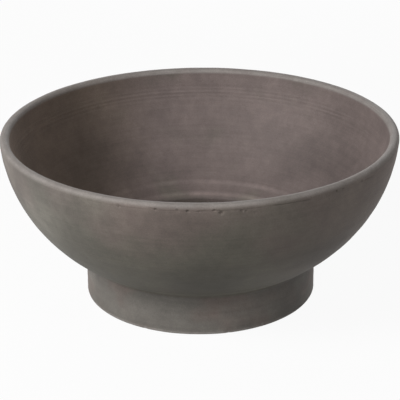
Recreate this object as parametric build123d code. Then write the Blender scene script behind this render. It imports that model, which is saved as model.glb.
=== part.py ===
from build123d import *
import os
from math import acos, cos, radians, sin, sqrt

# Footed bowl planter in dark, unglazed fired clay.
# It is thrown in two sections: a wide bowl with no bottom, and a straight foot with the floor in it.
# The bowl's lower end sits on the foot's upper end, over a scored ridge, and a layer of clay slip
# between the two is fired with them.
# Lengths are in millimetres and angles in degrees. The origin is the middle of the resting plane,
# with +Z up. Each section is a half-section, written as radius and height, turned about Z.

# Bowl
rim_diameter = 350.0
height = 151.0
wall = 9.0
rim_lean = 5.4             # of the wall from upright, just under the lip
step_round = 3.0           # rounding where the inside steps down into the foot

# Crease that the lip tool leaves on the outside, where the half-round lip ends
crease_width = 2.0
crease_depth = 0.4

# Throwing groove inside, on the slope just above the step
groove_inset = 13.0        # from the wall of the foot's hollow to the middle of the groove
groove_width = 9.0
groove_depth = 0.9

# Foot
foot_diameter = 206.0
foot_height = 35.5         # from the resting plane to the joint
foot_wall = 5.5
floor_thickness = 9.0
floor_round = 6.0          # between the floor and the inside of the foot
underside_recess = 4.0     # height of the floor's underside above the resting plane
resting_width = 13.0       # width of the ring that the planter stands on
edge_round = 1.2           # rounding of the resting ring's two edges

# Drain hole in the middle of the floor
drain_diameter = 22.0
drain_round = 0.8

# Joint between the sections
slip_thickness = 1.0
slip_bead = 0.9            # how far the squeezed-out slip stands beyond the foot
bowl_overhang = 0.5        # how far the bowl's lower edge stands beyond the foot
joint_shoulder = 1.25      # flat on each side of the scored ridge
ridge_height = 2.0

# Boxes that fit in the planting space: the room round them, and the height where each starts
box_clearance = 2.0
box_levels = (60.0, 105.0)

rim_radius = rim_diameter / 2
foot_radius = foot_diameter / 2
well_radius = foot_radius - foot_wall
drain_radius = drain_diameter / 2
floor_top = underside_recess + floor_thickness
bowl_base = foot_height + slip_thickness
joint_middle = (well_radius + foot_radius) / 2
ridge_half = (foot_wall - 2 * joint_shoulder) / 2


def along(centre, radius, lean):
    """The point of an arc about centre where the wall leans by this much from upright."""
    return (centre[0] + radius * cos(lean), centre[1] - radius * sin(lean))


# The wall's outside is one arc, tangent to the lip and ending at the bowl's lower edge
lean_top = radians(rim_lean)
lip_centre = (rim_radius - wall / 2, height - wall / 2)
wall_top = along(lip_centre, wall / 2, lean_top)
wall_end = (foot_radius + bowl_overhang, bowl_base)
drop = (wall_end[0] - wall_top[0], wall_end[1] - wall_top[1])
inward = (-cos(lean_top), sin(lean_top))
outer_radius = (drop[0] ** 2 + drop[1] ** 2) / (2 * (drop[0] * inward[0] + drop[1] * inward[1]))
wall_centre = (wall_top[0] + outer_radius * inward[0], wall_top[1] + outer_radius * inward[1])
inner_radius = outer_radius - wall


def lean_at(radius, arc_radius):
    """How far the wall leans where its arc of this radius is this far from the axis."""
    return acos((radius - wall_centre[0]) / arc_radius)


def arc(centre, radius, lean_from, lean_to):
    """A stretch of an arc about centre between two leans."""
    leans = (lean_from, (lean_from + lean_to) / 2, lean_to)
    return ThreePointArc([along(centre, radius, lean) for lean in leans])


def scoop(arc_radius, lean_from, lean_to, depth):
    """A shallow hollow in the wall between two leans, its middle moved by depth from the arc."""
    start = along(wall_centre, arc_radius, lean_from)
    middle = along(wall_centre, arc_radius + depth, (lean_from + lean_to) / 2)
    end = along(wall_centre, arc_radius, lean_to)
    return ThreePointArc(start, middle, end)


def joint_line(level, radius_in, radius_out):
    """The scored joint's section at one level: flat, ridge, flat."""
    return Polyline(
        (radius_in, level),
        (joint_middle - ridge_half, level),
        (joint_middle, level + ridge_height),
        (joint_middle + ridge_half, level),
        (radius_out, level),
    )


def rounded(face, corner, radius):
    """The half-section with the corner nearest to this point rounded."""
    return fillet(face.vertices().sort_by_distance(corner)[0], radius)


def turned(face, name):
    """The solid that a half-section sweeps about the axis."""
    solid = revolve(Plane.XZ * face, Axis.Z)
    solid.label = name
    return solid


def bowl_section():
    """Upper section: half-round lip, thrown wall and the step's edge."""
    crease_turn = crease_width / outer_radius
    lean_end = lean_at(wall_end[0], outer_radius)
    groove_middle = well_radius + groove_inset
    groove_out = lean_at(groove_middle + groove_width / 2, inner_radius)
    groove_in = lean_at(groove_middle - groove_width / 2, inner_radius)
    lean_step = lean_at(well_radius, inner_radius)
    step_corner = along(wall_centre, inner_radius, lean_step)
    lean_crown = radians(-90)
    lean_inside = lean_top - radians(180)
    outline = [
        joint_line(bowl_base, well_radius, wall_end[0]),
        arc(wall_centre, outer_radius, lean_end, lean_top + crease_turn),
        scoop(outer_radius, lean_top + crease_turn, lean_top, -crease_depth),
        arc(lip_centre, wall / 2, lean_top, lean_crown),
        arc(lip_centre, wall / 2, lean_crown, lean_inside),
        arc(wall_centre, inner_radius, lean_top, groove_out),
        scoop(inner_radius, groove_out, groove_in, groove_depth),
        arc(wall_centre, inner_radius, groove_in, lean_step),
        Line(step_corner, (well_radius, bowl_base)),
    ]
    face = rounded(make_face(outline), step_corner, step_round)
    return turned(face, "bowl_section")


def foot_section():
    """Lower section: straight foot, floor with its drain hole, and the ring that it stands on."""
    ring_inside = foot_radius - resting_width
    outline = [
        joint_line(foot_height, well_radius, foot_radius),
        Polyline(
            (foot_radius, foot_height),
            (foot_radius, 0),
            (ring_inside, 0),
            (ring_inside, underside_recess),
            (drain_radius, underside_recess),
            (drain_radius, floor_top),
            (well_radius, floor_top),
            (well_radius, foot_height),
        ),
    ]
    face = make_face(outline)
    face = rounded(face, (foot_radius, 0), edge_round)
    face = rounded(face, (ring_inside, 0), edge_round)
    face = rounded(face, (ring_inside, underside_recess), edge_round)
    face = rounded(face, (drain_radius, underside_recess), drain_round)
    face = rounded(face, (drain_radius, floor_top), drain_round)
    face = rounded(face, (well_radius, floor_top), floor_round)
    return turned(face, "foot_section")


def slip_joint():
    """Fired slip between the sections, with the bead that squeezed out of the joint."""
    bead_crown = (foot_radius + slip_bead, foot_height + slip_thickness / 2)
    outline = [
        joint_line(foot_height, well_radius, foot_radius),
        ThreePointArc((foot_radius, foot_height), bead_crown, wall_end),
        joint_line(bowl_base, well_radius, wall_end[0]),
        Line((well_radius, bowl_base), (well_radius, foot_height)),
    ]
    return turned(make_face(outline), "slip_joint")


def inside_radius(level):
    """The inner wall's radius at a height above the step."""
    return wall_centre[0] + sqrt(inner_radius ** 2 - (wall_centre[1] - level) ** 2)


def box_half(radius):
    """Half the side of the square that fits a round space of this radius with clearance."""
    return (radius - box_clearance) / sqrt(2)


parts = [bowl_section(), foot_section(), slip_joint()]
os.makedirs("parts", exist_ok=True)
for part in parts:
    export_step(part, "parts/" + part.label + ".step")
    print(part.label, "volume", round(part.volume), "mm3", part.bounding_box())

print("wall arc: outside", round(outer_radius, 2), "inside", round(inner_radius, 2))
print("drain hole: radius", drain_radius, "length", floor_thickness - 2 * drain_round)
print("foot's hollow: half side", round(box_half(well_radius - floor_round), 1), "from", floor_top)
for level in box_levels:
    print("planting space from", level, "half side", round(box_half(inside_radius(level)), 1))
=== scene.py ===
import math
import random

import bmesh
import bpy
import numpy as np
from bpy.props import FloatProperty, FloatVectorProperty, IntProperty, PointerProperty
from mathutils import Matrix, Vector


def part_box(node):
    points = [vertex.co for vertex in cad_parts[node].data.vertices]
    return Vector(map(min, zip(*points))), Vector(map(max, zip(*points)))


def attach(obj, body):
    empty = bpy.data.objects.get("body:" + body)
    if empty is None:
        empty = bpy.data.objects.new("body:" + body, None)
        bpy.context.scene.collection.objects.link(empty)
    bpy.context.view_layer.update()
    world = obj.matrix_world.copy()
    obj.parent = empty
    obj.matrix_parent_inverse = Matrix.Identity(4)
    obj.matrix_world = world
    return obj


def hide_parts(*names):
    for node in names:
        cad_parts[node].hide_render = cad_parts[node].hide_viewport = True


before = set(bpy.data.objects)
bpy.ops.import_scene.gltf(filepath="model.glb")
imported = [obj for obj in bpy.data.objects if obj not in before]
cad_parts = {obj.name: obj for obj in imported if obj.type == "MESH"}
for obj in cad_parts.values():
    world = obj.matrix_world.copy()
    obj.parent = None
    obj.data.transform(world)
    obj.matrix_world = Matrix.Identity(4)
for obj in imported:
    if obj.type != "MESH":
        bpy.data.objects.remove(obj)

bl_info = {
    "name": "Footed clay planter",
    "version": (1, 0, 0),
    "blender": (4, 5, 0),
    "location": "3D View > Sidebar > Planter",
    "description": "Turns a clay bowl planter in two sections, gives it a fired finish and sets up its studio",
    "category": "Object",
}

MM = 0.001
TURN = 2 * math.pi

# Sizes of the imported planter, in metres
BOWL_LOW, BOWL_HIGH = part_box("bowl_section")
_, FOOT_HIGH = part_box("foot_section")
RIM_RADIUS = BOWL_HIGH.x
RIM_HEIGHT = BOWL_HIGH.z
BOWL_BASE = BOWL_LOW.z
FOOT_RADIUS = FOOT_HIGH.x
RIDGE_TIP = FOOT_HIGH.z
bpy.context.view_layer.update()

# Slow unevenness pressed into each piece: its breadth and its depth
BOWL_UNEVENNESS = ((45 * MM, 0.45 * MM), (14 * MM, 0.18 * MM))
FOOT_UNEVENNESS = ((30 * MM, 0.25 * MM),)
SLIP_UNEVENNESS = ((9 * MM, 0.3 * MM),)

# Spacing of the points along a half-section, below which two count as one
SAME_POINT = 0.02 * MM

# Divisions of the faces round a pit or a chip
SPOT_CUTS = 3

# Pits under the lip where the photograph doesn't reach, from 62 degrees right of the front round to 330
HIDDEN_PITS = 16

# The floor lies a little under the resting ring, and shows the camera this share of plain white
FLOOR_GAP = 0.3 * MM
BACKDROP_WHITE = 0.93

# Weak gloss of unglazed clay, and the depth of the finish's relief
CLAY_GLOSS = 0.28
CLAY_RELIEF = 0.35 * MM
SLIP_RELIEF = 0.2 * MM


def size(name, value, description, **limits):
    """A length property that shows in the sidebar in scene units."""
    return FloatProperty(
        name=name, description=description, default=value, unit="LENGTH", subtype="DISTANCE", precision=5, **limits
    )


def angle(name, value, description):
    """An angle property, kept in radians and shown in degrees."""
    return FloatProperty(name=name, description=description, default=value, unit="ROTATION", subtype="ANGLE")


def share(name, value, description):
    """A plain share from 0 to 1."""
    return FloatProperty(name=name, description=description, default=value, min=0, max=1, subtype="FACTOR")


def colour(name, value, description):
    """A clay colour, as linear red, green and blue."""
    return FloatVectorProperty(name=name, description=description, default=value, size=3, subtype="COLOR", min=0, max=1)


class PlanterShape(bpy.types.PropertyGroup):
    """Sizes of the turned sections that the frame's boxes don't give."""

    wall: size("Wall", 9 * MM, "Fired thickness of the bowl's wall and width of its lip")
    rim_lean: angle("Rim lean", math.radians(5.4), "Lean of the wall from upright, just under the lip")
    overhang: size("Overhang", 0.5 * MM, "How far the bowl's lower edge stands beyond the foot")
    step_round: size("Step rounding", 3 * MM, "Rounding where the inside steps down into the foot")
    crease_width: size("Crease width", 2 * MM, "Height of the crease under the lip")
    crease_depth: size("Crease depth", 0.12 * MM, "Depth of the crease under the lip")
    groove_inset: size("Groove inset", 13 * MM, "From the foot's inner wall to the middle of the throwing groove")
    groove_width: size("Groove width", 9 * MM, "Width of the throwing groove above the step")
    groove_depth: size("Groove depth", 0.6 * MM, "Depth of the throwing groove above the step")
    foot_wall: size("Foot wall", 5.5 * MM, "Thickness of the foot's wall")
    floor: size("Floor", 9 * MM, "Thickness of the floor")
    recess: size("Recess", 4 * MM, "Height of the floor's underside above the resting plane")
    resting_width: size("Resting ring", 13 * MM, "Width of the ring that the planter stands on")
    floor_round: size("Floor rounding", 6 * MM, "Rounding between the floor and the inside of the foot")
    edge_round: size("Edge rounding", 1.2 * MM, "Rounding of the resting ring's edges")
    drain_radius: size("Drain radius", 11 * MM, "Radius of the drain hole")
    slip_layer: size("Slip layer", 1 * MM, "Thickness of the fired slip between the sections")
    joint_shoulder: size("Joint shoulder", 1.25 * MM, "Flat on each side of the scored ridge")
    ring_height: size("Throwing rings", 0.04 * MM, "Height of the finger rings inside the bowl")
    ring_pitch: size("Ring pitch", 11 * MM, "Distance from one finger ring to the next")
    segments: IntProperty(name="Segments", description="Faces round each turned section", default=400, min=64)


class PlanterClay(bpy.types.PropertyGroup):
    """Colours and surface of the fired clay."""

    brown: colour("Brown clay", (0.170, 0.138, 0.122), "Warm patches of the outside")
    grey: colour("Grey clay", (0.124, 0.115, 0.094), "Duller, slightly green patches of the outside")
    foot: colour("Foot clay", (0.150, 0.142, 0.127), "Greyer clay of the foot")
    inside: colour("Inside clay", (0.170, 0.136, 0.127), "Purplish brown of the inside")
    # Painted shade tint: a warmer, darker brown laid over the inside's left, which lies in shade
    inside_shade_tint: colour("Earthy clay", (0.170, 0.131, 0.102), "Warmer brown of the inside's left")
    worn: colour("Worn clay", (0.240, 0.219, 0.204), "Paler clay where edges are rubbed")
    slip: colour("Fired slip", (0.128, 0.116, 0.099), "Slip that fills the joint")
    pit: colour("Pit shadow", (0.030, 0.024, 0.020), "Bottom of the pits and the crease")
    patch_size: size("Patch size", 70 * MM, "Breadth of the large colour patches")
    streak_size: size("Streak height", 3.2 * MM, "Height of the faint turned streaks")
    grain_size: size("Grain size", 1.1 * MM, "Breadth of the fine sandy grain")
    streaks: share("Streaks", 0.05, "Strength of the turned streaks")
    grain: share("Grain", 0.12, "Strength of the sandy grain")
    roughness: share("Roughness", 0.68, "Roughness of the unglazed surface")


class PlanterStudio(bpy.types.PropertyGroup):
    """Camera, lamps and floor."""

    distance: size("Camera distance", 1.2937, "From the planter's axis to the camera, level")
    height: size("Camera height", 0.6238, "Of the camera above the floor")
    pitch: angle("Camera pitch", 0.3967, "Downward tilt of the camera")
    roll: angle("Camera roll", -0.0085, "Turn of the camera about its own view")
    lens: FloatProperty(name="Lens", description="Focal length in millimetres on a 36 mm sensor", default=141.0)
    key_power: FloatProperty(name="Key", description="Power of the main lamp, front left", default=31.0, unit="POWER")
    fill_power: FloatProperty(name="Fill", description="Power of the lamp, front right", default=8.0, unit="POWER")
    low_power: FloatProperty(name="Low", description="Power of the low lamp in front", default=8.5, unit="POWER")
    back_power: FloatProperty(name="Back", description="Power of the lamp behind", default=11.0, unit="POWER")
    ambient: share("Ambient", 0.02, "Strength of the even light from all round")
    floor_radius: size("Floor radius", 4.0, "Radius of the pale floor")


# Pits and scars under the lip that the photograph shows: degrees right of the front, drop below the
# lip's top, radius and depth in millimetres
FRONT_PITS = (
    (-21.5, 4.8, 0.9, 0.7),
    (-21.4, 6.2, 1.0, 0.8),
    (-11.5, 4.9, 1.1, 0.6),
    (-5.8, 4.6, 1.0, 0.6),
    (-3.2, 5.5, 1.2, 0.7),
    (-0.2, 5.9, 0.9, 0.5),
    (3.6, 5.2, 1.0, 0.6),
    (5.5, 7.6, 1.6, 1.3),
    (10.8, 7.2, 1.1, 0.7),
    (11.9, 7.4, 1.0, 0.6),
    (14.5, 10.0, 0.9, 0.5),
    (38.8, 5.5, 1.2, 0.7),
    (41.2, 5.9, 1.1, 0.6),
    (49.0, 5.7, 1.0, 0.6),
)

# Thin scratches that the lip tool left under the lip: degrees right of the front where each starts
# and ends, and the drop below the lip's top there in millimetres
LIP_SCRATCHES = (
    (-13.4, 4.3, -11.0, 4.8),
    (0.2, 4.8, 2.5, 4.8),
    (3.2, 5.2, 5.0, 5.4),
    (19.2, 5.4, 30.2, 6.4),
    (51.0, 6.2, 54.5, 6.6),
)

# Soft patches, partly stains and partly painted light and shade: degrees right of the front, distance from the axis,
# height and reach in millimetres, and how much lighter or darker the clay is in the middle. Most stand where the
# photograph's brightness differed from the render's, so much of their lightening and darkening is painted light and
# shade
BOWL_STAINS_AND_PAINTED_LIGHT = (
    (-5, 172, 132, 32, -0.26),
    (32, 173, 134, 24, -0.12),
    (44, 147, 74, 40, -0.46),
    (28, 156, 92, 30, -0.22),
    (2, 135, 61, 44, -0.36),
    (-58, 158, 92, 32, 0.42),
    (-52, 168, 114, 30, 0.40),
    (-27, 175, 145, 20, 0.12),
    (6, 175, 146, 16, 0.12),
    (46, 175, 145, 18, 0.12),
    (-69, 174, 144, 22, 0.26),
    (76, 174, 140, 22, 0.30),
    (92, 162, 122, 20, 0.20),
    (122, 164, 130, 30, -0.12),
    (134, 140, 80, 36, -0.26),
    (114, 148, 90, 34, -0.32),
    (-131, 139, 78, 40, -0.34),
    (-150, 130, 68, 22, -0.12),
    (-113, 146, 89, 30, -0.16),
    (-97, 159, 114, 26, -0.20),
    (-132, 165, 139, 20, -0.16),
    (-136, 158, 111, 22, -0.14),
    (152, 162, 122, 24, 0.13),
    (-148, 160, 118, 13, 0.14),
)
# Soft patches on the foot, in the same columns: partly stains, partly painted light and shade, such as the lighter left
# and the darker lower right
FOOT_STAINS_AND_PAINTED_LIGHT = (
    (-37, 103, 26, 18, -0.12),
    (39, 103, 26, 20, -0.14),
    (66, 103, 20, 22, -0.18),
    (50, 103, 7, 26, -0.32),
    (-68, 103, 25, 14, 0.22),
    (13, 103, 4, 10, 0.22),
)

# Small chips on the foot's lower edge: degrees right of the front, height, radius and depth in millimetres
FOOT_CHIPS = ((-28.0, 1.6, 2.0, 0.6), (13.0, 1.2, 1.7, 0.5), (31.0, 2.4, 1.5, 0.4))


def wall_curve(shape):
    """Centre and radius of the wall's outer arc, which leaves the lip at the rim's lean, and the lip's centre."""
    lip = Vector((RIM_RADIUS - shape.wall / 2, 0, RIM_HEIGHT - shape.wall / 2))
    top = on_arc(lip, shape.wall / 2, shape.rim_lean)
    end = Vector((FOOT_RADIUS + shape.overhang, 0, BOWL_BASE))
    inward = Vector((-math.cos(shape.rim_lean), 0, math.sin(shape.rim_lean)))
    chord = end - top
    radius = chord.length_squared / (2 * chord.dot(inward))
    return top + inward * radius, radius, lip


def on_arc(centre, radius, lean):
    """Point of a half-section's arc where the wall leans by this much from upright."""
    return centre + Vector((math.cos(lean), 0, -math.sin(lean))) * radius


def lean_where(centre, radius, distance):
    """Lean of an arc where it is this far from the planter's axis."""
    return math.acos((distance - centre.x) / radius)


def arc_run(centre, radius, lean_from, lean_to, spacing, relief=None):
    """Points along an arc, each moved off it by the relief at its place."""
    count = max(2, round(abs(lean_to - lean_from) * radius / spacing))
    run = []
    for step in range(count + 1):
        lean = lean_from + (lean_to - lean_from) * step / count
        point = on_arc(centre, radius, lean)
        run.append(on_arc(centre, radius + relief(point), lean) if relief else point)
    return run


def line_run(start, end, spacing, relief=None):
    """Points along a straight stretch, each moved off it by the relief at its place."""
    count = max(1, round((end - start).length / spacing))
    side = (end - start).normalized().cross(Vector((0, 1, 0)))
    run = []
    for step in range(count + 1):
        point = start.lerp(end, step / count)
        run.append(point + side * relief(point) if relief else point)
    return run


def bend_run(start, corner, end, count):
    """Points round a softened corner."""
    run = []
    for step in range(count + 1):
        t = step / count
        run.append(start.lerp(corner, t).lerp(corner.lerp(end, t), t))
    return run


def joined(*runs):
    """One outline from several runs, without the points that they share."""
    outline = []
    for point in [point for run in runs for point in run]:
        if not outline or (point - outline[-1]).length > SAME_POINT:
            outline.append(point)
    return outline


def softened(corners, spacing, relief=None):
    """A closed outline of straight stretches from corners, each a point and its rounding."""
    runs = []
    for index, (corner, rounding) in enumerate(corners):
        before = corners[index - 1][0]
        after = corners[(index + 1) % len(corners)][0]
        start = corner + (before - corner).normalized() * rounding
        end = corner + (after - corner).normalized() * rounding
        following, next_rounding = corners[(index + 1) % len(corners)]
        next_start = following + (corner - following).normalized() * next_rounding
        runs.append(bend_run(start, corner, end, 5) if rounding else [corner])
        runs.append(line_run(end, next_start, spacing, relief))
    return joined(*runs)


def joint_run(level, radius_in, radius_out, shape):
    """The scored joint's section at one level, from the inside out: flat, ridge, flat."""
    ridge = RIDGE_TIP - (BOWL_BASE - shape.slip_layer)
    well = FOOT_RADIUS - shape.foot_wall
    middle = (well + FOOT_RADIUS) / 2
    half = shape.foot_wall / 2 - shape.joint_shoulder
    stations = ((radius_in, 0), (middle - half, 0), (middle, ridge), (middle + half, 0), (radius_out, 0))
    return [Vector((radius, 0, level + rise)) for radius, rise in stations]


def clear_selection():
    """Leave nothing selected, in object mode."""
    if bpy.context.mode != "OBJECT":
        bpy.ops.object.mode_set(mode="OBJECT")
    bpy.ops.object.select_all(action="DESELECT")


def turn_section(name, outline, segments):
    """Draw a closed half-section corner by corner and spin it a full turn about the axis."""
    clear_selection()
    bpy.ops.mesh.primitive_plane_add(size=MM, location=(0, 0, 0))
    piece = bpy.context.object
    piece.name = name
    piece.data.name = name
    bpy.ops.object.mode_set(mode="EDIT")
    bpy.ops.mesh.select_mode(type="VERT")
    bpy.ops.mesh.select_all(action="SELECT")
    bpy.ops.mesh.merge(type="CENTER")
    bpy.ops.transform.translate(value=outline[0])
    for here, there in zip(outline, outline[1:]):
        bpy.ops.mesh.extrude_region_move(TRANSFORM_OT_translate={"value": there - here})
    section = bmesh.from_edit_mesh(piece.data)
    section.verts.ensure_lookup_table()
    section.verts[0].select_set(True)
    bpy.ops.mesh.edge_face_add()
    bpy.ops.mesh.select_all(action="SELECT")
    bpy.ops.mesh.spin(steps=segments, angle=TURN, center=(0, 0, 0), axis=(0, 0, 1), use_auto_merge=True)
    bpy.ops.mesh.select_all(action="SELECT")
    bpy.ops.mesh.remove_doubles(threshold=0.005 * MM)
    bpy.ops.mesh.normals_make_consistent(inside=False)
    if bmesh.from_edit_mesh(piece.data).calc_volume(signed=True) < 0:
        bpy.ops.mesh.flip_normals()
    bpy.ops.object.mode_set(mode="OBJECT")
    return piece


def corners_of(piece):
    """The piece's vertices as an array of places."""
    places = np.empty(len(piece.data.vertices) * 3)
    piece.data.vertices.foreach_get("co", places)
    return places.reshape(-1, 3)


def undulate(piece, layers):
    """Press slow hand-made unevenness into the surface, never beyond the turned shape."""
    for breadth, depth in layers:
        texture = bpy.data.textures.new(piece.name + "_undulation", "CLOUDS")
        texture.noise_scale = breadth
        unevenness = piece.modifiers.new("undulation", "DISPLACE")
        unevenness.texture = texture
        unevenness.texture_coords = "LOCAL"
        unevenness.strength = depth
        unevenness.mid_level = 1.0
        bpy.context.view_layer.objects.active = piece
        bpy.ops.object.modifier_apply(modifier=unevenness.name)


def spot_place(bearing, radius, height):
    """A point at a bearing in degrees right of the front, at this radius and height."""
    turn = math.radians(bearing)
    return Vector((radius * math.sin(turn), -radius * math.cos(turn), height))


def select_faces_near(piece, places, reach):
    """Select the faces within reach of any of the places."""
    found = np.zeros(len(piece.data.polygons), bool)
    centres = np.empty(len(piece.data.polygons) * 3)
    piece.data.polygons.foreach_get("center", centres)
    centres = centres.reshape(-1, 3)
    for place in places:
        found |= np.linalg.norm(centres - np.array(place), axis=1) < reach
    piece.data.polygons.foreach_set("select", found)
    piece.data.update()


def press_spots(piece, spots):
    """Dent the surface at each spot: its faces are divided, then its middle is pushed towards the axis."""
    places = [place for place, _, _ in spots]
    reach = max(radius for _, radius, _ in spots)
    clear_selection()
    piece.select_set(True)
    bpy.context.view_layer.objects.active = piece
    bpy.ops.object.mode_set(mode="EDIT")
    bpy.ops.mesh.select_all(action="DESELECT")
    bpy.ops.mesh.select_mode(type="FACE")
    bpy.ops.object.mode_set(mode="OBJECT")
    select_faces_near(piece, places, 2 * reach)
    bpy.ops.object.mode_set(mode="EDIT")
    bpy.ops.mesh.subdivide(number_cuts=SPOT_CUTS)
    bpy.ops.mesh.select_mode(type="VERT")
    for place, radius, depth in spots:
        bpy.ops.mesh.select_all(action="DESELECT")
        surface = bmesh.from_edit_mesh(piece.data)
        nearest = min(surface.verts, key=lambda corner: (corner.co - place).length_squared)
        nearest.select_set(True)
        towards_axis = -Vector((place.x, place.y, 0)).normalized()
        bpy.ops.transform.translate(
            value=towards_axis * depth,
            use_proportional_edit=True,
            proportional_edit_falloff="SMOOTH",
            proportional_size=1.6 * radius,
        )
    bpy.ops.object.mode_set(mode="OBJECT")


def scratch_depth(places, scratches):
    """How deep in one of the lip's scratches each place lies, from 0 to 1."""
    bearing = np.degrees(np.arctan2(places[:, 0], -places[:, 1]))
    outside = np.hypot(places[:, 0], places[:, 1]) > RIM_RADIUS - 4 * MM
    depth = np.zeros(len(places))
    for start, start_drop, end, end_drop in scratches:
        along = (bearing - start) / (end - start)
        level = RIM_HEIGHT - (start_drop + (end_drop - start_drop) * along) * MM
        away = np.abs(places[:, 2] - level) / (0.5 * MM)
        inside = outside & (along > 0) & (along < 1)
        depth = np.maximum(depth, np.where(inside, np.clip(1.3 - away, 0, 1), 0))
    return depth


def cut_scratches(piece, scratches):
    """Press the scratches into the surface under the lip."""
    clear_selection()
    piece.select_set(True)
    bpy.context.view_layer.objects.active = piece
    bpy.ops.object.mode_set(mode="EDIT")
    bpy.ops.mesh.select_mode(type="VERT")
    bpy.ops.mesh.select_all(action="DESELECT")
    bpy.ops.object.mode_set(mode="OBJECT")
    piece.data.vertices.foreach_set("select", scratch_depth(corners_of(piece), scratches) > 0.4)
    bpy.ops.object.mode_set(mode="EDIT")
    bpy.ops.transform.resize(value=(0.9985, 0.9985, 1), center_override=(0, 0, 0))
    bpy.ops.object.mode_set(mode="OBJECT")


def mark_surface(piece, name, spots, scratches=()):
    """Record how deep in a spot or a scratch each corner lies, for the finish to read."""
    places = corners_of(piece)
    depth = 0.38 * scratch_depth(places, scratches)
    for place, radius, _ in spots:
        distance = np.linalg.norm(places - np.array(place), axis=1) / radius
        depth = np.maximum(depth, np.clip(1.35 - distance, 0, 1))
    attribute = piece.data.attributes.new(name, "FLOAT", "POINT")
    attribute.data.foreach_set("value", depth.astype(np.float32))


def bowl_outline(shape):
    """Half-section of the bowl: base, outside, crease, lip, inside, step and hollow."""
    centre, outer, lip = wall_curve(shape)
    inner = outer - shape.wall
    well = FOOT_RADIUS - shape.foot_wall
    lean_end = lean_where(centre, outer, FOOT_RADIUS + shape.overhang)
    lean_crease = shape.rim_lean + shape.crease_width / outer
    lean_crown = -math.pi / 2
    lean_step = lean_where(centre, inner, well)
    step = on_arc(centre, inner, lean_step)
    lean_before_step = lean_step - shape.step_round / inner
    groove = well + shape.groove_inset

    def faded(point):
        """1 over the wall, easing to 0 at the lip and at the step, where the outline goes on smooth."""
        below_lip = (RIM_HEIGHT - 8 * MM - point.z) / (6 * MM)
        above_step = (point.z - step.z - 2.5 * MM) / (4 * MM)
        return min(max(below_lip, 0), max(above_step, 0), 1)

    def turned_lines(point):
        return 0.05 * MM * math.sin(point.z / (2.3 * MM)) * math.sin(point.z / (17 * MM)) * faded(point)

    def crease(point):
        lean = math.asin((centre.z - point.z) / outer)
        along = (lean - shape.rim_lean) / (lean_crease - shape.rim_lean)
        return -shape.crease_depth * math.sin(math.pi * min(max(along, 0), 1)) ** 2

    def finger_rings(point):
        climb = point.z + point.x
        rings = shape.ring_height * math.sin(TURN * climb / shape.ring_pitch + 1.5 * math.sin(climb / (21 * MM)))
        near_lines = math.exp(-((point.z - RIM_HEIGHT + 23 * MM) / (7 * MM)) ** 2)
        fine = 0.10 * MM * math.sin(TURN * point.z / (3.6 * MM)) * near_lines
        across = (point.x - groove) / (shape.groove_width / 2)
        drawn = (rings + fine) * faded(point)
        scooped = shape.groove_depth * math.cos(math.pi / 2 * across) ** 2 if abs(across) < 1 else 0
        return drawn + scooped

    return joined(
        joint_run(BOWL_BASE, well, FOOT_RADIUS + shape.overhang, shape),
        arc_run(centre, outer, lean_end, lean_end - 0.2 * MM / outer, 0.1 * MM),
        arc_run(centre, outer, lean_end - 0.2 * MM / outer, lean_crease, 2.3 * MM, turned_lines),
        arc_run(centre, outer, lean_crease, shape.rim_lean, 0.25 * MM, crease),
        arc_run(lip, shape.wall / 2, shape.rim_lean, lean_crown, 0.8 * MM),
        arc_run(lip, shape.wall / 2, lean_crown, shape.rim_lean - math.pi, 0.8 * MM),
        arc_run(centre, inner, shape.rim_lean, shape.rim_lean + 0.10, 1.2 * MM, finger_rings),
        arc_run(centre, inner, shape.rim_lean + 0.10, shape.rim_lean + 0.24, 0.7 * MM, finger_rings),
        arc_run(centre, inner, shape.rim_lean + 0.24, lean_before_step, 1.7 * MM, finger_rings),
        bend_run(on_arc(centre, inner, lean_before_step), step, step - Vector((0, 0, shape.step_round * 0.7)), 7),
        line_run(step - Vector((0, 0, shape.step_round * 0.7)), Vector((well, 0, BOWL_BASE + 0.2 * MM)), 1.6 * MM),
    )


def foot_outline(shape):
    """Half-section of the foot: joint, outside, resting ring, recess, drain hole, floor and hollow."""
    well = FOOT_RADIUS - shape.foot_wall
    top = BOWL_BASE - shape.slip_layer
    ring_inside = FOOT_RADIUS - shape.resting_width
    floor_top = shape.recess + shape.floor
    drain = shape.drain_radius

    def turned_rings(point):
        if abs(point.z - floor_top) < 0.1 * MM and drain + 4 * MM < point.x < well - shape.floor_round:
            return 0.16 * MM * math.sin(TURN * point.x / (7.5 * MM) + 2 * math.sin(point.x / (19 * MM)))
        if abs(point.z - shape.recess) < 0.1 * MM:
            return 0.07 * MM * math.sin(TURN * point.x / (3.1 * MM))
        if abs(point.x - FOOT_RADIUS) < 0.1 * MM:
            return -0.05 * MM * (1 + math.sin(point.z / (1.3 * MM)))
        return 0

    joint = joint_run(top, well, FOOT_RADIUS, shape)
    corners = [(joint[0], 0.3 * MM)] + [(corner, 0) for corner in joint[1:-1]] + [(joint[-1], 0.3 * MM)]
    corners += [
        (Vector((FOOT_RADIUS, 0, 0)), shape.edge_round),
        (Vector((ring_inside, 0, 0)), shape.edge_round),
        (Vector((ring_inside, 0, shape.recess)), shape.edge_round),
        (Vector((drain, 0, shape.recess)), 0.8 * MM),
        (Vector((drain, 0, floor_top)), 0.8 * MM),
        (Vector((well, 0, floor_top)), shape.floor_round),
    ]
    return softened(corners, 1.8 * MM, turned_rings)[:-1]


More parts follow.
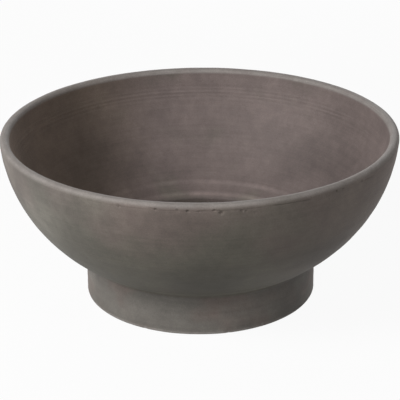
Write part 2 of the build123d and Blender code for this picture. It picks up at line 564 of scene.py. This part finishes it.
def slip_outline(shape):
    """Half-section of the slip: the layer over the ridge, and the beads wiped into the joint on both sides."""
    centre, outer, _ = wall_curve(shape)
    well = FOOT_RADIUS - shape.foot_wall
    under = BOWL_BASE - shape.slip_layer
    low = Vector((FOOT_RADIUS - 0.7 * MM, 0, under - 3.0 * MM))
    high = on_arc(centre, outer - 1.2 * MM, lean_where(centre, outer, FOOT_RADIUS + 2.8 * MM))
    corner = Vector((FOOT_RADIUS + 0.2 * MM, 0, BOWL_BASE))
    inside_high = Vector((well + 0.9 * MM, 0, BOWL_BASE + 1.6 * MM))
    inside_low = Vector((well + 0.9 * MM, 0, under - 1.6 * MM))
    inside_middle = Vector((well - 0.5 * MM, 0, (under + BOWL_BASE) / 2))
    lower = joint_run(under - 0.1 * MM, well + 0.9 * MM, FOOT_RADIUS - 0.7 * MM, shape)
    upper = joint_run(BOWL_BASE + 0.1 * MM, well + 0.9 * MM, FOOT_RADIUS - 0.7 * MM, shape)
    outside_bead = bend_run(low, corner, high, 10)
    inside_bead = bend_run(inside_high, inside_middle, inside_low, 8)
    return joined(lower, outside_bead, list(reversed(upper)), inside_bead)


class Finish:
    """One material's nodes, with the object-space coordinates that its layers read."""

    def __init__(self, name, clay):
        self.material = bpy.data.materials.new(name)
        self.material.use_nodes = True
        self.tree = self.material.node_tree
        self.tree.nodes.clear()
        self.clay = clay
        self.shader = self.node("ShaderNodeBsdfPrincipled")
        self.shader.inputs["Roughness"].default_value = clay.roughness
        self.shader.inputs["Specular IOR Level"].default_value = CLAY_GLOSS
        output = self.node("ShaderNodeOutputMaterial")
        self.link(self.shader.outputs["BSDF"], output.inputs["Surface"])
        self.position = self.node("ShaderNodeTexCoord").outputs["Object"]
        axes = self.node("ShaderNodeSeparateXYZ")
        self.link(self.position, axes.inputs[0])
        self.x, self.y, self.z = axes.outputs
        self.radius = self.length(self.x, self.y)

    def node(self, kind, **settings):
        made = self.tree.nodes.new(kind)
        for key, value in settings.items():
            setattr(made, key, value)
        return made

    def link(self, output, socket):
        self.tree.links.new(output, socket)

    def feed(self, socket, value):
        """Connect a socket, or set its value."""
        if isinstance(value, bpy.types.NodeSocket):
            self.link(value, socket)
        elif hasattr(value, "__len__") and len(value) == 3 and len(socket.default_value) == 4:
            socket.default_value = (*value, 1)
        else:
            socket.default_value = value

    def calc(self, operation, first, second=0.0, third=0.0):
        node = self.node("ShaderNodeMath", operation=operation)
        for socket, value in zip(node.inputs, (first, second, third)):
            self.feed(socket, value)
        return node.outputs[0]

    def length(self, first, second):
        """Length of the diagonal of two sides."""
        squares = [self.calc("MULTIPLY", side, side) for side in (first, second)]
        return self.calc("SQRT", self.calc("ADD", *squares))

    def ramp(self, value, low, high, to_low=0.0, to_high=1.0):
        """The value's way from low to high, eased at both ends."""
        node = self.node("ShaderNodeMapRange", interpolation_type="SMOOTHSTEP")
        sockets = ("Value", "From Min", "From Max", "To Min", "To Max")
        for name, number in zip(sockets, (value, low, high, to_low, to_high)):
            self.feed(node.inputs[name], number)
        return node.outputs["Result"]

    def noise(self, breadth, detail=2.0, rough=0.5, place=None):
        """Soft noise whose features are about this broad."""
        node = self.node("ShaderNodeTexNoise")
        self.feed(node.inputs["Vector"], place or self.position)
        node.inputs["Scale"].default_value = 1 / breadth
        node.inputs["Detail"].default_value = detail
        node.inputs["Roughness"].default_value = rough
        return node.outputs["Fac"]

    def cells(self, breadth, place=None):
        """Distance to the middle of the nearest of many scattered cells, in cells."""
        node = self.node("ShaderNodeTexVoronoi")
        self.feed(node.inputs["Vector"], place or self.position)
        node.inputs["Scale"].default_value = 1 / breadth
        return node.outputs["Distance"]

    def banded(self, long, high):
        """Coordinates that stretch a pattern round the pot: long round it, high up its section."""
        node = self.node("ShaderNodeCombineXYZ")
        self.feed(node.inputs[0], self.calc("DIVIDE", self.x, long))
        self.feed(node.inputs[1], self.calc("DIVIDE", self.y, long))
        climb = self.calc("ADD", self.z, self.radius)
        self.feed(node.inputs[2], self.calc("DIVIDE", climb, high))
        return node.outputs[0]

    def mix(self, factor, first, second, blend="MIX"):
        node = self.node("ShaderNodeMix", data_type="RGBA", blend_type=blend)
        self.feed(node.inputs["Factor"], factor)
        self.feed(node.inputs[6], first)
        self.feed(node.inputs[7], second)
        return node.outputs[2]

    def lighten(self, tone, amount):
        """The tone made lighter or darker by a factor that varies over the surface."""
        grey = self.node("ShaderNodeCombineColor")
        for socket in grey.inputs:
            self.link(amount, socket)
        return self.mix(1.0, tone, grey.outputs[0], "MULTIPLY")

    def spots(self, name):
        return self.node("ShaderNodeAttribute", attribute_name=name).outputs["Fac"]


def surface_layers(finish, tone):
    """Blotches, faint streaks, sandy grain, pores and pale grit over a clay tone, with their relief."""
    clay = finish.clay
    streak = finish.noise(1.0, 3.0, 0.6, finish.banded(0.11, clay.streak_size))
    broad = finish.noise(26 * MM, 3.0)
    blotch = finish.noise(8 * MM, 4.0, 0.6)
    grain = finish.noise(clay.grain_size, 3.0, 0.65)
    pore = finish.ramp(finish.cells(3.9 * MM), 0.08, 0.15, 1.0, 0.0)
    pore = finish.calc("MULTIPLY", pore, finish.ramp(blotch, 0.42, 0.62))
    grit = finish.ramp(finish.cells(6.1 * MM), 0.06, 0.10, 1.0, 0.0)
    change = finish.ramp(streak, 0.25, 0.75, 1 - clay.streaks, 1 + clay.streaks)
    change = finish.calc("MULTIPLY", change, finish.ramp(broad, 0.3, 0.7, 0.92, 1.08))
    change = finish.calc("MULTIPLY", change, finish.ramp(blotch, 0.3, 0.7, 0.93, 1.07))
    change = finish.calc("MULTIPLY", change, finish.ramp(grain, 0.2, 0.8, 1 - clay.grain, 1 + clay.grain))
    change = finish.calc("SUBTRACT", change, finish.calc("MULTIPLY", pore, 0.14))
    change = finish.calc("ADD", change, finish.calc("MULTIPLY", grit, 0.16))
    tone = finish.lighten(tone, change)
    relief = finish.calc("MULTIPLY", streak, 0.12)
    relief = finish.calc("ADD", relief, finish.calc("MULTIPLY", grain, 0.35))
    relief = finish.calc("ADD", relief, finish.calc("MULTIPLY", blotch, 0.45))
    relief = finish.calc("SUBTRACT", relief, finish.calc("MULTIPLY", pore, 0.5))
    relief = finish.calc("ADD", relief, finish.calc("MULTIPLY", broad, 0.5))
    return tone, relief


def complete(finish, tone, relief, depth):
    """Join the colour, the relief and a roughness that follows the relief to the shader."""
    bump = finish.node("ShaderNodeBump")
    bump.inputs["Distance"].default_value = depth
    finish.link(relief, bump.inputs["Height"])
    finish.link(bump.outputs["Normal"], finish.shader.inputs["Normal"])
    finish.link(tone, finish.shader.inputs["Base Color"])
    roughness = finish.ramp(relief, 0.2, 1.2, finish.clay.roughness - 0.05, finish.clay.roughness + 0.04)
    finish.link(roughness, finish.shader.inputs["Roughness"])
    return finish.material


def outside_tone(finish):
    """Warm brown above, greyer, greener and darker below, in large soft patches, greyer towards the left and browner
    and darker towards the right. The darker right is painted shade, and the darker grey below is partly painted shade
    under the bowl.
    """
    clay = finish.clay
    patch = finish.noise(clay.patch_size, 2.0, 0.55)
    # Greyer, greener clay lower down: the hue is the clay's own, and the grey's darker tone is partly painted shade of
    # the underside
    lower = finish.ramp(finish.z, RIM_HEIGHT * 0.92, RIM_HEIGHT * 0.45)
    factor = finish.ramp(finish.calc("ADD", patch, finish.calc("MULTIPLY", lower, 0.35)), 0.40, 0.78)
    factor = finish.calc("MULTIPLY", factor, finish.ramp(finish.x, 30 * MM, 130 * MM, 1.0, 0.25))
    # Painted shade: the right side, turned away from the lamps, is made darker
    right_shade = finish.ramp(finish.x, 30 * MM, 130 * MM, 1.0, 0.91)
    tone = finish.lighten(finish.mix(factor, clay.brown, clay.grey), right_shade)
    return finish.mix(finish.ramp(finish.x, -50 * MM, -140 * MM, 0.0, 0.5), tone, clay.foot)


def stains_and_painted_light(finish, tone, stains):
    """The tone made lighter or darker in soft, uneven patches at given places: partly stains, partly painted light and
    shade.
    """
    wander = finish.node("ShaderNodeTexNoise")
    finish.feed(wander.inputs["Vector"], finish.position)
    wander.inputs["Scale"].default_value = 1 / (24 * MM)
    wander.inputs["Detail"].default_value = 3
    moved = finish.node("ShaderNodeVectorMath", operation="MULTIPLY_ADD")
    finish.link(wander.outputs["Color"], moved.inputs[0])
    moved.inputs[1].default_value = (34 * MM, 34 * MM, 34 * MM)
    finish.link(finish.position, moved.inputs[2])
    change = 1.0
    for bearing, radius, height, reach, strength in stains:
        place = spot_place(bearing, radius * MM, height * MM) + Vector((17, 17, 17)) * MM
        away = finish.node("ShaderNodeVectorMath", operation="DISTANCE")
        finish.link(moved.outputs[0], away.inputs[0])
        away.inputs[1].default_value = place
        depth = finish.ramp(away.outputs["Value"], 0.1 * reach * MM, 1.25 * reach * MM, strength, 0.0)
        change = finish.calc("ADD", change, depth)
    return finish.lighten(tone, change)


def pale_lines(finish):
    """Broken pale lines that the last touch of the fingers left, a little under the lip's inside."""
    lines = finish.noise(1.0, 1.0, 0.5, finish.banded(0.05, 2.6 * MM))
    level = band(finish, finish.z, RIM_HEIGHT - 22 * MM, 13 * MM)
    broken = finish.ramp(finish.noise(42 * MM, 2.0), 0.42, 0.62)
    inside = finish.ramp(finish.radius, 172 * MM, 168 * MM)
    shown = finish.calc("MULTIPLY", finish.calc("MULTIPLY", level, broken), inside)
    return finish.calc("ADD", 1.0, finish.calc("MULTIPLY", finish.ramp(lines, 0.54, 0.66, 0.0, 0.17), shown))


def band(finish, value, middle, half_width):
    """1 in the middle of a band of values, easing to 0 at its edges."""
    away = finish.calc("ABSOLUTE", finish.calc("SUBTRACT", value, middle))
    return finish.ramp(away, 0.0, half_width, 1.0, 0.0)


def crest_painted_highlight(finish, shape):
    """Painted highlight: the two rings above the step and the slope between them are made lighter, standing in for the
    light that their tilted tops catch.
    """
    well = FOOT_RADIUS - shape.foot_wall
    low = finish.ramp(finish.z, 70 * MM, 60 * MM)
    inside = finish.ramp(finish.radius, 118 * MM, 116 * MM)
    upper_ring = finish.calc("MULTIPLY", band(finish, finish.radius, well + 16.8 * MM, 3.0 * MM), 0.36)
    slope = finish.calc("MULTIPLY", band(finish, finish.radius, well + 11.0 * MM, 8.0 * MM), 0.18)
    lower_ring = finish.calc("MULTIPLY", band(finish, finish.radius, well + 4.6 * MM, 4.2 * MM), 0.74)
    rings = finish.calc("ADD", upper_ring, finish.calc("ADD", slope, lower_ring))
    uneven = finish.ramp(finish.noise(30 * MM, 2.0), 0.3, 0.7, 0.55, 1.15)
    rings = finish.calc("MULTIPLY", finish.calc("MULTIPLY", rings, uneven), finish.calc("MULTIPLY", low, inside))
    return finish.calc("ADD", 1.0, rings)


def lip_change(finish, lip):
    """Fine turned scratches round the lip, whose two edges are rubbed paler than its crown."""
    away = finish.calc("ABSOLUTE", finish.calc("SUBTRACT", finish.radius, lip.x))
    edges = finish.ramp(away, 1.2 * MM, 3.4 * MM, 0.91, 1.09)
    lines = finish.ramp(finish.noise(1.0, 2.0, 0.6, finish.banded(0.02, 1.1 * MM)), 0.3, 0.7, 0.90, 1.10)
    grain = finish.ramp(finish.noise(finish.clay.grain_size, 3.0), 0.2, 0.8, 0.88, 1.12)
    return finish.calc("MULTIPLY", edges, finish.calc("MULTIPLY", lines, grain))


def bowl_finish(clay, shape):
    """Bowl: brown to grey outside, purplish brown inside, paler rubbed lip, dark pits and crease, painted shade towards
    its base and on the inside's left, and a painted highlight on the rings above the step.
    """
    finish = Finish("bowl_clay_fired", clay)
    centre, outer, lip = wall_curve(shape)
    across = finish.calc("SUBTRACT", finish.radius, centre.x)
    rise = finish.calc("SUBTRACT", finish.z, centre.z)
    from_centre = finish.length(across, rise)
    middle = outer - shape.wall / 2
    inside = finish.ramp(from_centre, middle + 2 * MM, middle - 2 * MM)
    inside_patch = finish.ramp(finish.noise(clay.patch_size * 0.8, 2.0), 0.52, 0.75, 0.0, 0.6)
    inside_tone = finish.mix(inside_patch, clay.inside, clay.grey)
    # Painted shade tint over the inside's left
    inside_tone = finish.mix(finish.ramp(finish.x, -30 * MM, -120 * MM, 0.0, 0.85), inside_tone, clay.inside_shade_tint)
    tone = finish.mix(inside, outside_tone(finish), inside_tone)
    tone, relief = surface_layers(finish, tone)
    # Stains, with painted light and shade in some of the soft patches
    tone = stains_and_painted_light(finish, tone, BOWL_STAINS_AND_PAINTED_LIGHT)
    # Painted highlight on the rings above the step
    tone = finish.lighten(tone, crest_painted_highlight(finish, shape))
    tone = finish.lighten(tone, pale_lines(finish))
    # Painted shade: the bowl made darker towards its lower edge, inside and out, where the overhang and the hollow keep
    # the light off
    tone = finish.lighten(tone, finish.ramp(finish.z, BOWL_BASE + 2 * MM, BOWL_BASE + 34 * MM, 0.82, 1.0))
    rubbed_outside = finish.ramp(finish.z, RIM_HEIGHT - 5.0 * MM, RIM_HEIGHT - 0.6 * MM)
    rubbed_inside = finish.ramp(finish.z, RIM_HEIGHT - 5.4 * MM, RIM_HEIGHT - 3.0 * MM)
    outward = finish.ramp(finish.radius, lip.x - 1.5 * MM, lip.x + 1.5 * MM)
    rubbed_outside = finish.calc("MULTIPLY", rubbed_outside, outward)
    rubbed_inside = finish.calc("MULTIPLY", rubbed_inside, finish.calc("SUBTRACT", 1.0, outward))
    rubbed = finish.calc("ADD", rubbed_outside, rubbed_inside)
    rubbed = finish.calc("MULTIPLY", rubbed, finish.ramp(finish.noise(14 * MM, 3.0, 0.7), 0.25, 0.7, 0.6, 1.0))
    tone = finish.mix(rubbed, tone, finish.lighten(clay.worn, lip_change(finish, lip)))
    tone = finish.mix(finish.calc("MULTIPLY", finish.spots("pit"), 0.85), tone, clay.pit)
    return complete(finish, tone, relief, CLAY_RELIEF)


def foot_finish(clay):
    """Foot: as the bowl's outside, darker towards its top with painted shade under the bowl, and paler and rubbed
    towards the resting ring.
    """
    finish = Finish("foot_clay_fired", clay)
    patch = finish.ramp(finish.noise(clay.patch_size * 0.6, 2.0), 0.46, 0.72, 0.85, 0.0)
    tone = finish.mix(patch, clay.brown, clay.foot)
    hollow = finish.ramp(finish.radius, FOOT_RADIUS - 2 * MM, FOOT_RADIUS - 4 * MM)
    hollow = finish.calc("MULTIPLY", hollow, finish.ramp(finish.z, 9 * MM, 12 * MM))
    tone = finish.mix(hollow, tone, clay.inside)
    tone, relief = surface_layers(finish, tone)
    # Stains, with painted light and shade in some of the soft patches
    tone = stains_and_painted_light(finish, tone, FOOT_STAINS_AND_PAINTED_LIGHT)
    # Painted shade: the foot made darker towards its top, under the bowl's overhang
    tone = finish.lighten(tone, finish.ramp(finish.z, 16 * MM, 31 * MM, 1.0, 0.88))
    rubbed = finish.ramp(finish.z, 3.5 * MM, 0.5 * MM)
    rubbed = finish.calc("MULTIPLY", rubbed, finish.ramp(finish.noise(9 * MM, 3.0, 0.7), 0.35, 0.7, 0.2, 0.9))
    tone = finish.mix(rubbed, tone, clay.worn)
    tone = finish.mix(finish.calc("MULTIPLY", finish.spots("chip"), 0.7), tone, clay.worn)
    return complete(finish, tone, relief, CLAY_RELIEF)


def slip_finish(clay):
    """Slip: clay close to the bowl's grey, with a shallower relief."""
    finish = Finish("joint_slip_fired", clay)
    tone, relief = surface_layers(finish, finish.mix(finish.noise(20 * MM, 2.0), clay.slip, clay.grey))
    return complete(finish, tone, relief, SLIP_RELIEF)


def fit_out(piece, node, material):
    """Give a finished piece its material and its place on the frame."""
    piece.data.materials.clear()
    piece.data.materials.append(material)
    clear_selection()
    piece.select_set(True)
    bpy.context.view_layer.objects.active = piece
    bpy.ops.object.shade_smooth()
    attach(piece, "root")
    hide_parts(node)


class PLANTER_OT_bowl(bpy.types.Operator):
    """Turn the upper section, press its pits and give it its clay"""

    bl_idname = "planter.bowl"
    bl_label = "Turn bowl"

    def execute(self, context):
        shape = context.scene.planter_shape
        piece = turn_section("thrown_bowl", bowl_outline(shape), shape.segments)
        undulate(piece, BOWL_UNEVENNESS)
        rng = random.Random(7)
        pits = [
            (spot_place(bearing, RIM_RADIUS, RIM_HEIGHT - drop * MM), radius * MM, depth * MM)
            for bearing, drop, radius, depth in FRONT_PITS
        ]
        for _ in range(HIDDEN_PITS):
            bearing = rng.uniform(62, 330)
            drop = rng.uniform(4.6, 8.5) * MM
            radius = rng.uniform(0.9, 1.4) * MM
            pits.append((spot_place(bearing, RIM_RADIUS, RIM_HEIGHT - drop), radius, 0.6 * radius))
        cut_scratches(piece, LIP_SCRATCHES)
        press_spots(piece, pits)
        mark_surface(piece, "pit", pits, LIP_SCRATCHES)
        fit_out(piece, "bowl_section", bowl_finish(context.scene.planter_clay, shape))
        return {"FINISHED"}


class PLANTER_OT_foot(bpy.types.Operator):
    """Turn the lower section, chip its edge and give it its clay"""

    bl_idname = "planter.foot"
    bl_label = "Turn foot"

    def execute(self, context):
        shape = context.scene.planter_shape
        piece = turn_section("thrown_foot", foot_outline(shape), shape.segments)
        undulate(piece, FOOT_UNEVENNESS)
        chips = [
            (spot_place(bearing, FOOT_RADIUS, height * MM), radius * MM, depth * MM)
            for bearing, height, radius, depth in FOOT_CHIPS
        ]
        press_spots(piece, chips)
        mark_surface(piece, "chip", chips)
        fit_out(piece, "foot_section", foot_finish(context.scene.planter_clay))
        return {"FINISHED"}


class PLANTER_OT_slip(bpy.types.Operator):
    """Fill the joint between the sections with slip and wipe its bead"""

    bl_idname = "planter.slip"
    bl_label = "Fill joint"

    def execute(self, context):
        shape = context.scene.planter_shape
        piece = turn_section("wiped_slip", slip_outline(shape), shape.segments)
        undulate(piece, SLIP_UNEVENNESS)
        fit_out(piece, "slip_joint", slip_finish(context.scene.planter_clay))
        return {"FINISHED"}


def backdrop_rays(tree):
    """1 for the rays that show the backdrop to the camera, straight, mirrored or through glass, and 0 for the rest."""
    rays = tree.nodes.new("ShaderNodeLightPath")
    seen = tree.nodes.new("ShaderNodeMath")
    seen.operation = "MAXIMUM"
    seen_clear = tree.nodes.new("ShaderNodeMath")
    seen_clear.operation = "MAXIMUM"
    tree.links.new(rays.outputs["Is Camera Ray"], seen.inputs[0])
    tree.links.new(rays.outputs["Is Glossy Ray"], seen.inputs[1])
    tree.links.new(seen.outputs[0], seen_clear.inputs[0])
    tree.links.new(rays.outputs["Is Transmission Ray"], seen_clear.inputs[1])
    return seen_clear.outputs[0]


def floor_material():
    """Pale floor: it bounces light as paper does, and shows the camera white with the planter's soft shadow."""
    material = bpy.data.materials.new("pale_floor")
    material.use_nodes = True
    nodes = material.node_tree.nodes
    links = material.node_tree.links
    nodes.clear()
    bounce = nodes.new("ShaderNodeBsdfDiffuse")
    bounce.inputs["Color"].default_value = (0.31, 0.31, 0.31, 1)
    paper = nodes.new("ShaderNodeBsdfDiffuse")
    paper.inputs["Color"].default_value = (0.8, 0.8, 0.8, 1)
    white = nodes.new("ShaderNodeEmission")
    backdrop = nodes.new("ShaderNodeMixShader")
    backdrop.inputs[0].default_value = BACKDROP_WHITE
    mix = nodes.new("ShaderNodeMixShader")
    output = nodes.new("ShaderNodeOutputMaterial")
    links.new(paper.outputs[0], backdrop.inputs[1])
    links.new(white.outputs[0], backdrop.inputs[2])
    links.new(backdrop_rays(material.node_tree), mix.inputs[0])
    links.new(bounce.outputs[0], mix.inputs[1])
    links.new(backdrop.outputs[0], mix.inputs[2])
    links.new(mix.outputs[0], output.inputs["Surface"])
    return material


def set_world(strength):
    """Even light from all round, seen as white by the camera."""
    world = bpy.data.worlds.new("studio")
    bpy.context.scene.world = world
    world.use_nodes = True
    nodes = world.node_tree.nodes
    links = world.node_tree.links
    background = nodes["Background"]
    background.inputs["Color"].default_value = (1, 1, 1, 1)
    level = nodes.new("ShaderNodeMapRange")
    level.inputs["To Min"].default_value = strength
    level.inputs["To Max"].default_value = 1.0
    links.new(backdrop_rays(world.node_tree), level.inputs["Value"])
    links.new(level.outputs[0], background.inputs["Strength"])


def add_lamp(name, place, breadth, height, power):
    """A rectangular lamp that faces the planter."""
    clear_selection()
    aim = Vector((0, 0, RIM_HEIGHT / 2)) - Vector(place)
    bpy.ops.object.light_add(type="AREA", location=place, rotation=aim.to_track_quat("-Z", "Y").to_euler())
    lamp = bpy.context.object
    lamp.name = name
    lamp.data.shape = "RECTANGLE"
    lamp.data.size = breadth
    lamp.data.size_y = height
    lamp.data.energy = power


def add_camera(studio):
    """The photograph's viewpoint."""
    right = Vector((1, 0, 0))
    forward = Vector((0, math.cos(studio.pitch), -math.sin(studio.pitch)))
    up = right.cross(forward)
    rolled_right = right * math.cos(studio.roll) + up * math.sin(studio.roll)
    rolled_up = up * math.cos(studio.roll) - right * math.sin(studio.roll)
    clear_selection()
    bpy.ops.object.camera_add()
    camera = bpy.context.object
    camera.name = "photo_view"
    turn = Matrix((rolled_right, rolled_up, -forward)).transposed()
    camera.matrix_world = Matrix.Translation((0, -studio.distance, studio.height)) @ turn.to_4x4()
    camera.data.lens = studio.lens
    camera.data.sensor_width = 36
    bpy.context.scene.camera = camera


class PLANTER_OT_stage(bpy.types.Operator):
    """Lay the pale floor and set the lamps and the camera"""

    bl_idname = "planter.stage"
    bl_label = "Set stage"

    def execute(self, context):
        studio = context.scene.planter_studio
        clear_selection()
        bpy.ops.mesh.primitive_circle_add(
            vertices=96, radius=studio.floor_radius, fill_type="NGON", location=(0, 0, -FLOOR_GAP)
        )
        floor = bpy.context.object
        floor.name = "floor"
        floor.data.materials.append(floor_material())
        set_world(studio.ambient)
        add_lamp("key_lamp", (-1.35, -0.78, 1.18), 0.75, 0.75, studio.key_power)
        add_lamp("fill_lamp", (1.10, -1.10, 1.18), 0.75, 0.75, studio.fill_power)
        add_lamp("low_lamp", (-0.85, -1.67, 0.42), 0.75, 0.5, studio.low_power)
        add_lamp("back_lamp", (0.25, 1.75, 0.80), 1.2, 0.5, studio.back_power)
        add_camera(studio)
        context.scene.view_settings.view_transform = "Standard"
        return {"FINISHED"}


class PLANTER_PT_sidebar(bpy.types.Panel):
    """Sizes, clay and studio, with a button for each step"""

    bl_label = "Planter"
    bl_idname = "PLANTER_PT_sidebar"
    bl_space_type = "VIEW_3D"
    bl_region_type = "UI"
    bl_category = "Planter"

    def draw(self, context):
        for operator in STEPS:
            self.layout.operator(operator.bl_idname)
        for name in ("planter_shape", "planter_clay", "planter_studio"):
            settings = getattr(context.scene, name)
            column = self.layout.box().column(align=True)
            for key in settings.__annotations__:
                column.prop(settings, key)


GROUPS = {"planter_shape": PlanterShape, "planter_clay": PlanterClay, "planter_studio": PlanterStudio}
STEPS = (PLANTER_OT_bowl, PLANTER_OT_foot, PLANTER_OT_slip, PLANTER_OT_stage)


def register():
    for group in GROUPS.values():
        bpy.utils.register_class(group)
    for step in STEPS:
        bpy.utils.register_class(step)
    bpy.utils.register_class(PLANTER_PT_sidebar)
    for name, group in GROUPS.items():
        setattr(bpy.types.Scene, name, PointerProperty(type=group))


def unregister():
    for name in GROUPS:
        delattr(bpy.types.Scene, name)
    bpy.utils.unregister_class(PLANTER_PT_sidebar)
    for step in reversed(STEPS):
        bpy.utils.unregister_class(step)
    for group in reversed(list(GROUPS.values())):
        bpy.utils.unregister_class(group)


def main():
    register()
    bpy.ops.planter.bowl()
    bpy.ops.planter.foot()
    bpy.ops.planter.slip()
    bpy.ops.planter.stage()


if __name__ == "__main__":
    main()
